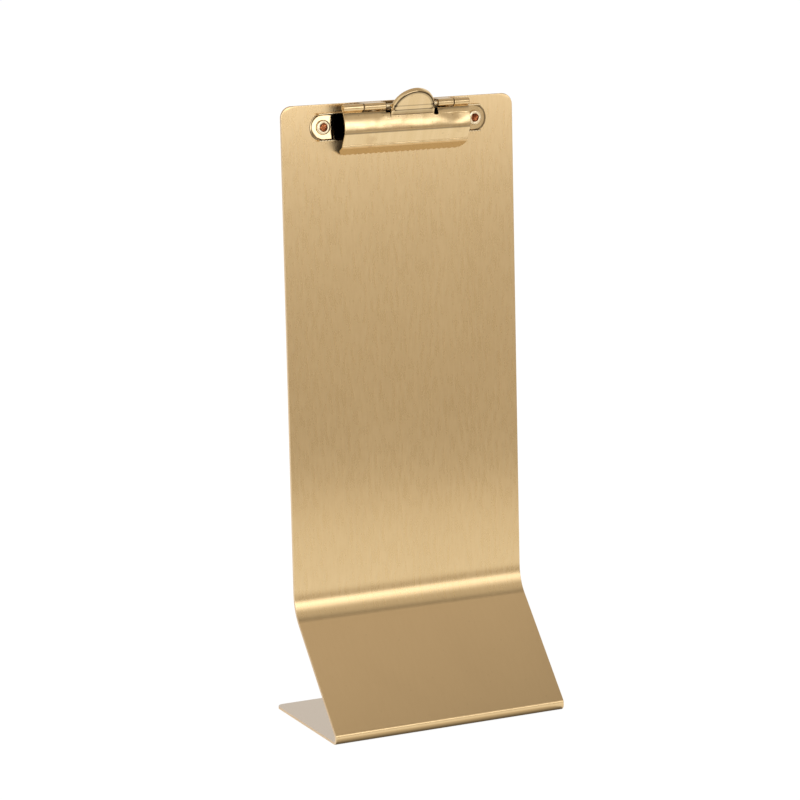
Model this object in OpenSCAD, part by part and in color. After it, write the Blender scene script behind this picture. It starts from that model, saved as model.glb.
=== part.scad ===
// Table menu holder: one bent metal sheet that stands by itself, with a sprung
// clip riveted across the top of its upright panel.
// Millimetres, +Z up. The origin is on the table, under the middle of the foot.
// The front faces -Y. Clip parts are drawn in the panel's own frame, whose origin
// is the middle of the panel's top edge on its front face; a "standoff" is a
// distance forward of that face and a "drop" a distance below that edge.

/* [Sheet] */
// Width of the bent sheet
sheet_w = 110; // [96:1:140]
// Thickness of the bent sheet
sheet_t = 1.2; // [0.8:0.1:2]
// Depth of the foot, from the front fold to the rear edge
base_depth = 61; // [50:1:80]
// Inside radius of the front fold
fold_r = 1.5; // [1:0.1:3]
// Flat length of the slanted section
slant_len = 54; // [40:1:70]
// Slope of the slanted section above the table, in degrees
slant_deg = 48; // [40:1:60]
// Radius of the hollow bend, on its front face
bend_r = 16.5; // [10:0.5:25]
// Flat length of the upright panel
panel_len = 210; // [150:1:260]
// Lean of the panel backwards from upright, in degrees
panel_lean = 2.7; // [0:0.1:8]
// Radius of the panel's two top corners
panel_corner_r = 5; // [2:0.5:10]
// Radius of the foot's two rear corners
base_corner_r = 2; // [1:0.5:8]

/* [Clip plate] */
// Thickness of the clip plate
plate_t = 0.7; // [0.5:0.05:0.9]
// Half height of the plate, and the radius of its round ears
ear_r = 6; // [5.2:0.1:7]
// Distance between the two rivets
rivet_span = 72; // [70:1:78]
// Width of the plate's folded upper and lower edges
flange_w = 76.8; // [70:0.2:78]
// Standoff of those folded edges
flange_out = 2.2; // [1.6:0.1:2.6]
// Inside radius of the bends at the folded edges
plate_bend_r = 0.4; // [0.3:0.05:0.7]
// Inside radius of the bend where a tongue turns forward to its knuckle
tongue_bend_r = 0.8; // [0.5:0.1:1.2]
// Relief beside each tongue
tongue_relief = 0.5; // [0.3:0.1:1]

/* [Hinge] */
// Standoff of the hinge pin's axis
hinge_out = 7.4; // [7:0.1:8.4]
// Diameter of the hinge pin
pin_d = 1.6; // [1.4:0.05:1.8]
// Radial clearance of the pin in its knuckles
pin_fit = 0.05; // [0.03:0.01:0.08]
// Width of the bay between the plate's two knuckles
bay_w = 24.6; // [24:0.1:27]
// Offset of the bay from the middle of the holder
bay_x = 2.4; // [0:0.1:4]
// Width of the plate's left knuckle
left_knuckle_w = 10.4; // [8:0.1:11]
// Width of the plate's right knuckle
right_knuckle_w = 7.6; // [6:0.1:8.4]
// Gap between neighbouring knuckles
knuckle_gap = 0.3; // [0.2:0.05:0.5]

/* [Jaw] */
// Width of the jaw
jaw_w = 59.5; // [58:0.5:62]
// Thickness of the jaw
jaw_t = 0.7; // [0.5:0.05:0.8]
// How far the belly stands out past the hinge axis
belly_out = 1.9; // [1.6:0.1:2.4]
// Distance of the belly below the hinge axis
belly_below = 8.1; // [7:0.1:9]
// Distance of the crease below the hinge axis
crease_below = 10.9; // [10:0.1:11.5]
// Outside radius of the crease
crease_r = 2; // [1.2:0.1:3]
// Slope of the flat face below the crease, in degrees from the panel
face_deg = 29; // [26:1:34]
// Distance of the lip's bend below the hinge axis
bead_below = 17.3; // [16.5:0.1:18]
// Outside radius of the lip's bend
bead_r = 1.2; // [1:0.1:2]
// Distance of the lip's edge below the hinge axis
tip_below = 20.7; // [20:0.1:22]
// Running gap between the lip's edge and the panel when shut
tip_gap = 0.3; // [0.2:0.05:0.5]
// Length of one tooth and one valley along the lip
tooth_pitch = 2.5; // [2:0.1:4]
// Depth of the valleys between the teeth
tooth_depth = 0.5; // [0.3:0.05:0.8]
// Radius of the valleys between the teeth
tooth_r = 0.9; // [0.8:0.05:1.2]
// Running gap between the shell's upper edge and the plate's knuckles
shell_gap = 0.45; // [0.35:0.05:0.6]
// Chamfer at the lip's two ends
lip_chamfer = 1.8; // [1:0.1:2.4]

/* [Thumb tab] */
// Lean of the thumb tab forwards from the panel, in degrees
tab_lean = 31; // [26:1:36]
// Radius of the tab's round end, and half its width
tab_r = 10.2; // [9.6:0.1:10.8]
// Straight length of the tab's sides below its round end
tab_straight = 0.6; // [0.4:0.1:3]
// Distance below the hinge axis where the tab leaves the shell
root_below = 4.5; // [4.3:0.1:5.2]
// Radius of the hollow bend at the tab's root, on its front face
root_r = 1.4; // [1:0.1:1.6]
// Gap between the tab's rim and the hinge pin
rim_gap = 0.35; // [0.3:0.05:0.6]

/* [Spring] */
// Diameter of the spring's wire
wire_d = 0.8; // [0.6:0.05:0.9]
// Gap between the coils and the hinge pin
coil_gap = 0.35; // [0.3:0.05:0.45]
// Number of full curls
curls = 12; // [8:1:12]
// Gap between the coils and the tab's rim at each end
coil_end_gap = 0.4; // [0.3:0.05:0.8]
// Seat gap under the rear leg and behind the front leg
leg_gap = 0.1; // [0.05:0.01:0.2]
// Reach of the rear leg short of the panel
leg_short = 1; // [0.6:0.1:2]
// Length of the front leg along the back of the tab
front_leg = 4.6; // [3.5:0.1:5.5]

/* [Rivets] */
// Diameter of a rivet's shank
shank_d = 4; // [3.6:0.1:4.4]
// Clearance round the shank in its holes
shank_fit = 0.05; // [0.03:0.01:0.1]
// Diameter of the rolled ring on the front
ring_d = 6.4; // [5.8:0.1:7]
// Height of the rolled ring
ring_h = 0.9; // [0.7:0.05:1.2]
// Rounding of the ring's outer edge
ring_round = 0.6; // [0.3:0.05:0.65]
// Diameter of the hole in the rolled ring
hole_d = 3.3; // [2.8:0.1:3.4]
// Depth of that hole below the top of the ring
hole_depth = 2; // [1.2:0.1:2.4]
// Diameter of the domed head on the back
head_d = 6.8; // [6:0.1:8]
// Height of the domed head
head_h = 1.1; // [0.8:0.05:1.5]

/* [Hidden] */

// Facets of a full circle, of a small round and of the spring's wire
$fn = 96;
small_fn = 48;
wire_sides = 6;
curl_rings = 8;
// Turn of one facet of a bend, in degrees
facet_deg = 4;
// Overrun of every cut past the face that it cuts
over = 0.5;
// Points of an outline that lie nearer than this are one point
same_point = 0.01;

function along(deg) = [cos(deg), sin(deg)];
function left_of(deg) = [-sin(deg), cos(deg)];
function unit(v) = v / norm(v);
// Points round an arc from one angle to another, either way round
function arc(centre, r, from, to) =
    let (steps = max(1, ceil(abs(to - from) / facet_deg)))
    [for (i = [0 : steps]) centre + r * along(from + (to - from) * i / steps)];
// A closed outline from lists of points, with each point kept once
function outline(lists) =
    let (points = [for (part = lists) each part], count = len(points))
    [for (i = [0 : count - 1])
        if (norm(points[i] - points[(i + count - 1) % count]) > same_point) points[i]];

// The bent sheet's section: [depth, height]
fold_outer_r = fold_r + sheet_t;
panel_deg = 90 - panel_lean;
fold_centre = [fold_outer_r - base_depth / 2, fold_outer_r];
slant_top = fold_centre + fold_outer_r * left_of(slant_deg) + slant_len * along(slant_deg);
bend_centre = slant_top + bend_r * left_of(slant_deg);
panel_top = bend_centre - bend_r * left_of(panel_deg) + panel_len * along(panel_deg);
stand_section = outline([
    [[base_depth / 2, sheet_t], [base_depth / 2, 0]],
    arc(fold_centre, fold_outer_r, 270, 90 + slant_deg),
    arc(bend_centre, bend_r, slant_deg - 90, panel_deg - 90),
    [panel_top, panel_top - sheet_t * left_of(panel_deg)],
    arc(bend_centre, bend_r + sheet_t, panel_deg - 90, slant_deg - 90),
    arc(fold_centre, fold_r, 90 + slant_deg, 270)]);

// The hinge
pin_r = pin_d / 2;
bore_r = pin_r + pin_fit;
plate_knuckle_r = bore_r + plate_t;
jaw_knuckle_r = bore_r + jaw_t;
hinge_drop = max(plate_knuckle_r, jaw_knuckle_r);
bay_left = bay_x - bay_w / 2;
bay_right = bay_x + bay_w / 2;
left_knuckle_x = bay_left - left_knuckle_w;
right_knuckle_x = bay_right + right_knuckle_w;

// The spring's coil and the plate edge that its rear leg rests on
wire_r = wire_d / 2;
coil_r = pin_r + coil_gap + wire_r;
plate_top_drop = hinge_drop + coil_r + wire_r + leg_gap;
rivet_drop = plate_top_drop + ear_r;

// The plate's strip, about the rivets' line: [standoff, height]
strip_bend_r = plate_bend_r + plate_t;
strip_bend = [strip_bend_r, ear_r - strip_bend_r];
strip_low_bend = [strip_bend_r, strip_bend_r - ear_r];
strip_section = outline([
    [[flange_out, plate_t - ear_r], [flange_out, -ear_r]],
    arc(strip_low_bend, strip_bend_r, 270, 180),
    arc(strip_bend, strip_bend_r, 180, 90),
    [[flange_out, ear_r], [flange_out, ear_r - plate_t]],
    arc(strip_bend, plate_bend_r, 90, 180),
    arc(strip_low_bend, plate_bend_r, 180, 270)]);

// A tongue that rises from the strip, turns forward and rolls round the hinge pin, about
// the panel's top edge: [standoff, height]
notch_drop = plate_top_drop + strip_bend_r;
tongue_bend = [plate_t + tongue_bend_r, bore_r - hinge_drop - tongue_bend_r];
roll_end_deg = 180 - asin(bore_r / plate_knuckle_r);
tongue_section = outline([
    [[0, -notch_drop - over], [plate_t, -notch_drop - over]],
    arc(tongue_bend, tongue_bend_r, 180, 90),
    arc([hinge_out, -hinge_drop], plate_knuckle_r, roll_end_deg, 450),
    arc(tongue_bend, tongue_bend_r + plate_t, 90, 180)]);

// The jaw's shell, about the hinge axis: [standoff, height]. Its front face touches the
// bore's circle and its back face the knuckle's.
shell_r = (belly_out * belly_out + belly_below * belly_below - bore_r * bore_r)
          / (2 * (belly_out + bore_r));
shell_centre = [belly_out - shell_r, -belly_below];
touch_deg = atan2(-shell_centre[1], -shell_centre[0]);
hinge_reach = shell_r + bore_r;
meet_deg = touch_deg - acos((hinge_reach * hinge_reach + shell_r * shell_r
                             - jaw_knuckle_r * jaw_knuckle_r) / (2 * hinge_reach * shell_r));
meet_point = shell_centre + shell_r * along(meet_deg);
crease_deg = asin((crease_below - belly_below) / shell_r);
root_deg = asin((belly_below - root_below) / shell_r);
crease_centre = shell_centre + (shell_r - crease_r) * along(-crease_deg);
face_top = crease_centre + crease_r * along(-face_deg);
bead_point = [face_top[0] - (bead_below + face_top[1]) * tan(face_deg), -bead_below];
tip_point = [tip_gap - hinge_out, -tip_below];
lip_deg = atan2(bead_point[0] - tip_point[0], bead_point[1] - tip_point[1]);
bead_centre = bead_point - bead_r / cos((lip_deg - face_deg) / 2)
                           * along(-(lip_deg + face_deg) / 2);
// The front and the back of the shell below the tab's root, the same at every width
shell_front = outline([
    arc(shell_centre, shell_r, root_deg, -crease_deg),
    arc(crease_centre, crease_r, -crease_deg, -face_deg),
    arc(bead_centre, bead_r, -face_deg, -lip_deg),
    [tip_point]]);
shell_back = outline([
    [tip_point + [0, jaw_t / sin(lip_deg)]],
    arc(bead_centre, bead_r - jaw_t, -lip_deg, -face_deg),
    arc(crease_centre, crease_r - jaw_t, -face_deg, -crease_deg),
    arc(shell_centre, shell_r - jaw_t, -crease_deg, root_deg)]);
// The same shell carried up to its knuckle
knuckle_section = outline([
    shell_front, shell_back,
    arc(shell_centre, shell_r - jaw_t, root_deg, touch_deg),
    arc([0, 0], jaw_knuckle_r, 180 + touch_deg, atan2(meet_point[1], meet_point[0])),
    arc(shell_centre, shell_r, meet_deg, root_deg)]);

// The thumb tab. Its own frame has the middle of its round end, on the front face, as
// origin, +Z up along the tab and -Y out of its front face.
root_centre = shell_centre + (shell_r + root_r) * along(root_deg);
tab_middle = root_centre - root_r * along(-tab_lean) + tab_straight * along(90 - tab_lean);
tab_end = tab_middle + (tab_r + over) * along(90 - tab_lean);
tab_rim = tab_middle * along(-tab_lean) - jaw_t - pin_r - rim_gap;
root_height = (root_centre - root_r * along(root_deg) - tab_middle) * along(90 - tab_lean);
// The shell turned forward into the tab
tab_section = outline([
    shell_front, shell_back,
    arc(root_centre, root_r + jaw_t, 180 + root_deg, 180 - tab_lean),
    [tab_end - jaw_t * along(-tab_lean), tab_end],
    arc(root_centre, root_r, 180 - tab_lean, 180 + root_deg)]);
// What the tab and the shell below it show from the front: [width, height]
tab_outline = outline([
    [[bay_w, -jaw_w], [bay_w, root_height], [tab_r, root_height]],
    arc([0, 0], tab_r, 0, 180),
    [[-tab_r, root_height], [-bay_w, root_height], [-bay_w, -jaw_w]]]);
teeth = floor((jaw_w - 2 * lip_chamfer) / tooth_pitch);

// A section, [depth, height], carried across from one X to another
module across(x0, x1) {
    translate([x0, 0, 0]) rotate([90, 0, 90]) linear_extrude(height = x1 - x0) children();
}
// The same for a section in [standoff, height]
module forward_across(x0, x1) {
    across(x0, x1) mirror([1, 0]) children();
}
// A cylinder along X from one place to another
module rod(x0, x1, r) {
    translate([x0, 0, 0]) rotate([0, 90, 0]) cylinder(r = r, h = x1 - x0);
}
// What rounding takes off a square corner at the origin, both ways through the sheet
module corner_cut(r, thick) {
    difference() {
        translate([-r, -r, -thick - over]) cube([r + over, r + over, 2 * (thick + over)]);
        translate([-r, -r, -thick - 2 * over]) cylinder(r = r, h = 2 * (thick + 2 * over));
    }
}
module on_panel() {
    translate([0, panel_top[0], panel_top[1]]) rotate([-panel_lean, 0, 0]) children();
}
module at_hinge() {
    on_panel() translate([0, -hinge_out, -hinge_drop]) children();
}
// Children at a rivet's place on the panel's front face, with +Z pointing forward
module at_rivet(side) {
    on_panel() translate([side * rivet_span / 2, 0, -rivet_drop]) rotate([90, 0, 0]) children();
}

module stand_sheet() {
    color("#d3b27c") difference() {
        across(-sheet_w / 2, sheet_w / 2) polygon(stand_section);
        for (side = [0, 1]) mirror([side, 0, 0]) {
            on_panel() translate([sheet_w / 2, 0, 0]) rotate([90, 0, 0])
                corner_cut(panel_corner_r, sheet_t);
            translate([sheet_w / 2, base_depth / 2, 0]) corner_cut(base_corner_r, sheet_t);
        }
        for (side = [-1, 1]) at_rivet(side) translate([0, 0, -sheet_t - over])
            cylinder(d = shank_d + 2 * shank_fit, h = sheet_t + 2 * over);
    }
}

// A shallow channel with a round ear at each end, and two tongues that hold the pin
module clip_base_plate() {
    tongues = [[left_knuckle_x, bay_left], [bay_right, right_knuckle_x]];
    color("#e8cf96") on_panel() difference() {
        union() {
            difference() {
                translate([0, 0, -rivet_drop]) forward_across(-flange_w / 2, flange_w / 2)
                    polygon(strip_section);
                for (ends = tongues)
                    translate([ends[0] - tongue_relief, -flange_out - over, -notch_drop])
                        cube([ends[1] - ends[0] + 2 * tongue_relief, flange_out + 2 * over,
                              strip_bend_r + over]);
            }
            for (ends = tongues) forward_across(ends[0], ends[1]) polygon(tongue_section);
            for (side = [-1, 1]) translate([side * rivet_span / 2, 0, -rivet_drop])
                rotate([90, 0, 0]) cylinder(r = ear_r, h = plate_t);
        }
        translate([0, -hinge_out, -hinge_drop])
            rod(left_knuckle_x - over, right_knuckle_x + over, bore_r);
        for (side = [-1, 1])
            translate([side * rivet_span / 2, over, -rivet_drop]) rotate([90, 0, 0])
                cylinder(d = shank_d + 2 * shank_fit, h = plate_t + 2 * over);
    }
}

// One side of the jaw with its knuckle, cleared round the plate's knuckle beside it
module jaw_side(x0, x1, clear0, clear1) {
    difference() {
        forward_across(x0, x1) polygon(knuckle_section);
        rod(clear0, clear1, plate_knuckle_r + shell_gap);
    }
}
// The middle of the jaw with the thumb tab, whose rim turns back round its end
module jaw_middle() {
    intersection() {
        union() {
            forward_across(bay_left, bay_right) polygon(tab_section);
            at_tab() difference() {
                translate([-tab_r - over, jaw_t / 2, 0])
                    cube([2 * (tab_r + over), tab_rim + jaw_t / 2, tab_r + over]);
                translate([0, -over, 0]) rotate([-90, 0, 0])
                    cylinder(r = tab_r - jaw_t, h = tab_rim + jaw_t + 2 * over);
            }
        }
        at_tab() translate([0, jaw_w, 0]) rotate([90, 0, 0])
            linear_extrude(height = 2 * jaw_w) polygon(tab_outline);
    }
}
module at_tab() {
    translate([bay_x, -tab_middle[0], tab_middle[1]]) rotate([tab_lean, 0, 0]) children();
}
// What is cut from the lip: the teeth and both corners
module lip_cuts() {
    reach = hinge_out + over;
    for (i = [0 : teeth])
        translate([(i - teeth / 2) * tooth_pitch, 0, -tip_below - tooth_r + tooth_depth])
            rotate([-90, 0, 0]) cylinder(r = tooth_r, h = reach, $fn = small_fn);
    for (side = [0, 1]) mirror([side, 0, 0])
        translate([jaw_w / 2 - lip_chamfer, 0, -tip_below]) rotate([0, 45, 0])
            translate([0, 0, -2 * lip_chamfer]) cube([2 * lip_chamfer, reach, 4 * lip_chamfer]);
}
module clip_jaw() {
    color("#f0d9a6") at_hinge() difference() {
        union() {
            jaw_side(-jaw_w / 2, bay_left, left_knuckle_x - knuckle_gap, bay_left + over);
            jaw_middle();
            jaw_side(bay_right, jaw_w / 2, bay_right - over, right_knuckle_x + knuckle_gap);
        }
        rod(-jaw_w / 2 - over, jaw_w / 2 + over, bore_r);
        lip_cuts();
    }
}

module hinge_pin() {
    color("#caa565") at_hinge()
        rod(-jaw_w / 2 + knuckle_gap, jaw_w / 2 - knuckle_gap, pin_r);
}

// The torsion spring's route, in the hinge's frame: the rear leg, the curls, the front leg
coil_left = bay_x - tab_r + jaw_t + coil_end_gap + wire_r;
coil_right = bay_x + tab_r - jaw_t - coil_end_gap - wire_r;
coil_deg = curls * 360 + 90 - tab_lean;
coil_steps = round(coil_deg / 360 * curl_rings);
// Where the front leg's points lie: shares of its length and of its way inwards
front_leg_shares = [[0.25, 0.02], [0.5, 0.14], [0.75, 0.5], [1, 1]];
rear_leg_shares = [1, 0.66, 0.33];
front_leg_in = tab_r / 2;
coil_points = [for (i = [0 : coil_steps]) let (a = -90 + coil_deg * i / coil_steps)
    [coil_left + (coil_right - coil_left) * i / coil_steps,
     -coil_r * cos(a), coil_r * sin(a)]];
rear_points = [for (share = rear_leg_shares)
    [coil_left, share * (hinge_out - leg_short), -coil_r]];
front_points = [for (share = front_leg_shares)
    coil_points[coil_steps]
    + [-share[1] * front_leg_in, -share[0] * front_leg * sin(tab_lean),
       share[0] * front_leg * cos(tab_lean)]];
wire_points = concat(rear_points, coil_points, front_points);
wire_last = len(wire_points) - 1;
wire_rings = [for (i = [0 : wire_last])
    let (t = unit(wire_points[min(i + 1, wire_last)] - wire_points[max(i - 1, 0)]),
         side = unit(cross(t, [1, 0, 0])), rise = cross(t, side))
    for (k = [0 : wire_sides - 1]) let (a = 360 * k / wire_sides)
        wire_points[i] + wire_r * (cos(a) * side + sin(a) * rise)];
wire_faces = concat(
    [for (i = [0 : wire_last - 1], k = [0 : wire_sides - 1])
        let (a = i * wire_sides + k, b = i * wire_sides + (k + 1) % wire_sides)
        each [[a, b, b + wire_sides], [a, b + wire_sides, a + wire_sides]]],
    [for (k = [1 : wire_sides - 2]) [0, k + 1, k]],
    [for (k = [1 : wire_sides - 2]) let (z = wire_last * wire_sides) [z, z + k, z + k + 1]]);
// Least clear distance between two places on the wire at least half a curl apart
wire_gap = min([for (i = [0 : wire_last], j = [i + curl_rings / 2 + 1 : 1 : wire_last])
    norm(wire_points[i] - wire_points[j])]) - wire_d;

module torsion_spring() {
    echo(least_gap_of_spring_to_itself_mm = wire_gap);
    color("#b9b4a8") at_hinge() polyhedron(wire_rings, wire_faces);
}

// A tubular rivet, pushed in from behind and rolled over on the plate. Its shank, rolled
// ring and hole as a half section, about the panel's front face: [radius, height]
dome_r = (head_d * head_d / 4 + head_h * head_h) / (2 * head_h);
hole_floor = plate_t + ring_h - hole_depth;
shank_section = outline([
    [[0, -sheet_t - head_h / 2], [shank_d / 2, -sheet_t - head_h / 2], [shank_d / 2, plate_t],
     [ring_d / 2, plate_t]],
    arc([ring_d / 2 - ring_round, plate_t + ring_h - ring_round], ring_round, 0, 90),
    [[hole_d / 2, plate_t + ring_h], [hole_d / 2, hole_floor], [0, hole_floor]]]);
module rivet() {
    rotate_extrude() polygon(shank_section);
    rotate_extrude() intersection() {
        translate([0, dome_r - sheet_t - head_h]) circle(r = dome_r);
        translate([0, -sheet_t - head_h]) square([head_d, head_h]);
    }
}
module rivet_left() {
    color("#c98f5c") at_rivet(-1) rivet();
}
module rivet_right() {
    color("#c98f5c") at_rivet(1) rivet();
}

stand_sheet();
clip_base_plate();
clip_jaw();
hinge_pin();
torsion_spring();
rivet_left();
rivet_right();
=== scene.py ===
import math

import bpy
import numpy as np
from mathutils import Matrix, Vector


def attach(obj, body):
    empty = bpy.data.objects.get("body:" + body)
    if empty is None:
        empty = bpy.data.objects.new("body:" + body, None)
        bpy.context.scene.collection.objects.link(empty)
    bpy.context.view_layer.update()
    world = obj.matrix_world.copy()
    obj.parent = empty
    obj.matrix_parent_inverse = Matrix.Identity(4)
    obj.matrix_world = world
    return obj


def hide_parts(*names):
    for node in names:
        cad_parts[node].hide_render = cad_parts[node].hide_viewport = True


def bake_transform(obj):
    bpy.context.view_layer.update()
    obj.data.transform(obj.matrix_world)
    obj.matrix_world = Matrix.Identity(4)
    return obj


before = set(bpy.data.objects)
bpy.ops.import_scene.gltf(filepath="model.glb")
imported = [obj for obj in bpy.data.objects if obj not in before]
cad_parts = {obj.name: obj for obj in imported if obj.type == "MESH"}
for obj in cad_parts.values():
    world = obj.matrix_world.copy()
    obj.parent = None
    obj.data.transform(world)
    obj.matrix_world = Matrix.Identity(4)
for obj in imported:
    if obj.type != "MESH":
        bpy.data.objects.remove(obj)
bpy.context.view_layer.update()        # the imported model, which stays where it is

# Looks of the table menu holder: a bent brushed-brass sheet with a sprung clip.
# Sizes in the dictionaries are millimetres and angles are degrees, but the camera's and the
# studio's lengths are metres.

print("frame loaded:", ", ".join(sorted(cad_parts)))
mm = 0.001
blankUnit = 100.0        # millimetres of a flat blank to one unit of its map


# Surfaces

def wayOf(degrees):
    # Cosine and sine of an angle
    return np.array([math.cos(math.radians(degrees)), math.sin(math.radians(degrees))])


def pointAt(centre, radius, degrees):
    # Radius times cosine and sine, from a centre
    return np.array(centre) + radius * wayOf(degrees)


def arcPoints(centre, radius, first, last, count):
    # The same for evenly spaced angles
    turn = np.radians(np.linspace(first, last, count))
    return np.array(centre) + radius * np.stack([np.cos(turn), np.sin(turn)], -1)


def held(value):
    # Kept between 0 and 1
    return np.clip(value, 0, 1)


def bell(value, height, middle, spread):
    # Height times e to the minus square of the distance from the middle over the spread
    return height * np.exp(-((value - middle) / spread) ** 2)


def arcPart(radius, turn):
    # An arc as a part of a path: its length is the radius times the turn
    return radius * math.radians(abs(turn)), turn


def arcStep(heading, bend, length):
    # Chord of an arc: differences of the sines and cosines of its headings over its curvature
    end = heading + bend * length
    return np.stack([(np.sin(end) - np.sin(heading)) / bend,
                     (np.cos(heading) - np.cos(end)) / bend], -1)


def bentPath(start, heading, parts):
    # Straights and arcs laid end to end. Parts are (length, turn), and a part's curvature
    # is its turn over its length, next to nothing for a straight
    lengths, turns = np.array(parts, float).T
    bends = np.radians(turns) / lengths
    bends = np.where(np.abs(bends) < 1e-7, 1e-7, bends)
    headings = math.radians(heading) + np.concatenate([[0.0], np.cumsum(bends * lengths)])
    steps = arcStep(headings[:-1], bends, lengths)
    return {"stations": np.concatenate([[0.0], np.cumsum(lengths)]),
            "points": np.array(start, float) + np.vstack([np.zeros(2), np.cumsum(steps, 0)]),
            "headings": headings, "bends": bends}


def walk(path, along):
    # Point and left-hand normal at a length along the path: the start of the part that
    # holds it, plus that part's chord so far
    part = np.searchsorted(path["stations"], along, side="right") - 1
    part = np.clip(part, 0, len(path["bends"]) - 1)
    heading, bend = path["headings"][part], path["bends"][part]
    rest = along - path["stations"][part]
    end = heading + bend * rest
    return (path["points"][part] + arcStep(heading, bend, rest),
            np.stack([-np.sin(end), np.cos(end)], -1))


def divided(path, counts):
    # Evenly spaced lines in numbered parts of a path, given as (part, how many)
    return [np.linspace(*path["stations"][part:part + 2], count) for part, count in counts]


def lipLines(edge):
    # Lines beside a cut edge, where a quarter circle of that radius has turned 90, 60, 30 and 0
    return edge * np.array([0.0, 0.134, 0.5, 1.0, 2.0])


def gridLines(hard, soft, gap):
    # Every hard line, and the soft ones that lie further than the gap from all of them
    hard, soft = (np.unique(np.round(np.concatenate(lines), 5)) for lines in (hard, soft))
    soft = soft[np.abs(soft[:, None] - hard[None, :]).min(1) > gap]
    return np.sort(np.concatenate([hard, soft]))


def keptCells(across, along, end, spans):
    # Cells that lie short of their column's end. A span is (from, to, end) across the grid,
    # and a later one outweighs those before it
    middleX, middleS = ((lines[1:] + lines[:-1]) / 2 for lines in (across, along))
    limit = np.full(middleX.shape, end)
    for low, high, stop in spans:
        limit[(middleX > low) & (middleX < high)] = stop
    return middleS[None, :] < limit[:, None]


def distanceToRim(points, starts, ends):
    # Shortest distance of each flat point to the segments: the foot of the perpendicular,
    # held between a segment's two ends
    found = np.empty(len(points))
    run = ends - starts
    square = np.maximum((run * run).sum(-1), 1e-12)
    for some in np.array_split(np.arange(len(points)), max(1, len(points) // 1500)):
        lead = points[some][:, None, :] - starts[None]
        share = held((lead * run).sum(-1) / square)
        found[some] = np.sqrt(((lead - share[..., None] * run) ** 2).sum(-1)).min(1)
    return found


def addObject(name, data):
    made = bpy.data.objects.new(name, data)
    bpy.context.scene.collection.objects.link(made)
    return made


def putMesh(name, points, faceSets, flat=None, marks=None, sharp=35):
    # One mesh object from whole arrays, turned so that its volume is positive. "flat" is each
    # point's place on the flat blank, and the marks are values that its finish reads
    used = np.unique(np.concatenate([f.ravel() for f in faceSets]))
    place = np.full(len(points), -1)
    place[used] = np.arange(len(used))
    faceSets = [place[f] for f in faceSets]
    points = points[used]
    triangles = np.concatenate([np.stack([f[:, 0], f[:, k], f[:, k + 1]], -1)
                                for f in faceSets for k in range(1, f.shape[1] - 1)])
    a, b, c = (points[triangles[:, k]] for k in range(3))
    if (a * np.cross(b, c)).sum() < 0:
        faceSets = [f[:, ::-1] for f in faceSets]
    corners = np.concatenate([f.ravel() for f in faceSets])
    counts = np.concatenate([np.full(len(f), f.shape[1]) for f in faceSets])
    mesh = bpy.data.meshes.new(name)
    mesh.vertices.add(len(points))
    mesh.vertices.foreach_set("co", (points * mm).astype(np.float32).ravel())
    mesh.loops.add(len(corners))
    mesh.loops.foreach_set("vertex_index", corners.astype(np.int32))
    mesh.polygons.add(len(counts))
    mesh.polygons.foreach_set("loop_start",
                              np.concatenate([[0], np.cumsum(counts)[:-1]]).astype(np.int32))
    mesh.update(calc_edges=True)
    if flat is not None:
        layer = mesh.uv_layers.new(name="blank")
        layer.data.foreach_set("uv", (flat[used][corners] / blankUnit).astype(np.float32).ravel())
    for mark, values in (marks or {}).items():
        layer = mesh.attributes.new(mark, "FLOAT", "POINT")
        layer.data.foreach_set("value", values[used].astype(np.float32))
    mesh.validate()
    mesh.shade_smooth()
    mesh.set_sharp_from_angle(angle=math.radians(sharp))
    return addObject(name, mesh)


def pressedSheet(name, flat, middle, normal, keep, size, stain=(0.0, 0.0)):
    # A blank of one thickness on a grid: each face lies half of it along the normal from the
    # middle, and near a cut edge both come together on a quarter circle. The two marks
    # carry painted shade and a greyer tone for the finish, on the normal's side and on the one behind
    # it
    across, along = flat.shape[:2]
    index = np.arange(across * along).reshape(across, along)
    loop = np.stack([index[:-1, :-1], index[1:, :-1], index[1:, 1:], index[:-1, 1:]], -1)
    around = np.pad(keep, 1)
    neighbours = [around[1:-1, :-2], around[2:, 1:-1], around[1:-1, 2:], around[:-2, 1:-1]]
    edges = np.concatenate([np.stack([loop[..., k], loop[..., (k + 1) % 4]], -1)[keep & ~beside]
                            for k, beside in enumerate(neighbours)])
    flatPoints, edge = flat.reshape(-1, 2), size["edge"]
    rim = distanceToRim(flatPoints, flatPoints[edges[:, 0]], flatPoints[edges[:, 1]])
    short = np.minimum(rim, edge)
    half = size["thickness"] / 2 - edge + np.sqrt(np.maximum(edge ** 2 - (edge - short) ** 2, 0))
    offset = half[:, None] * normal.reshape(-1, 3)
    points = np.concatenate([middle.reshape(-1, 3) + offset, middle.reshape(-1, 3) - offset])
    front, count = loop[keep], across * along
    wall = np.stack([edges[:, 1], edges[:, 0], edges[:, 0] + count, edges[:, 1] + count], -1)
    dark = np.concatenate([(side + np.zeros(flat.shape[:2])).ravel() for side in stain])
    return putMesh(name, points, [front, front[:, ::-1] + count, wall],
                   np.concatenate([flatPoints] * 2),
                   {"rimDistance": np.concatenate([rim] * 2), "stain": dark})


def closedRings(name, points, count, marks=None):
    # Faces between rings of so many points, and a fan at each end to one of the last two points
    index = np.arange(len(points) - 2).reshape(-1, count)
    beside = np.roll(index, -1, 1)
    quads = np.stack([index[:-1], beside[:-1], beside[1:], index[1:]], -1).reshape(-1, 4)
    first, last = (np.full(count, len(points) - k) for k in (2, 1))
    return putMesh(name, points, [quads, np.stack([first, beside[0], index[0]], -1),
                                  np.stack([index[-1], beside[-1], last], -1)], marks=marks)


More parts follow.
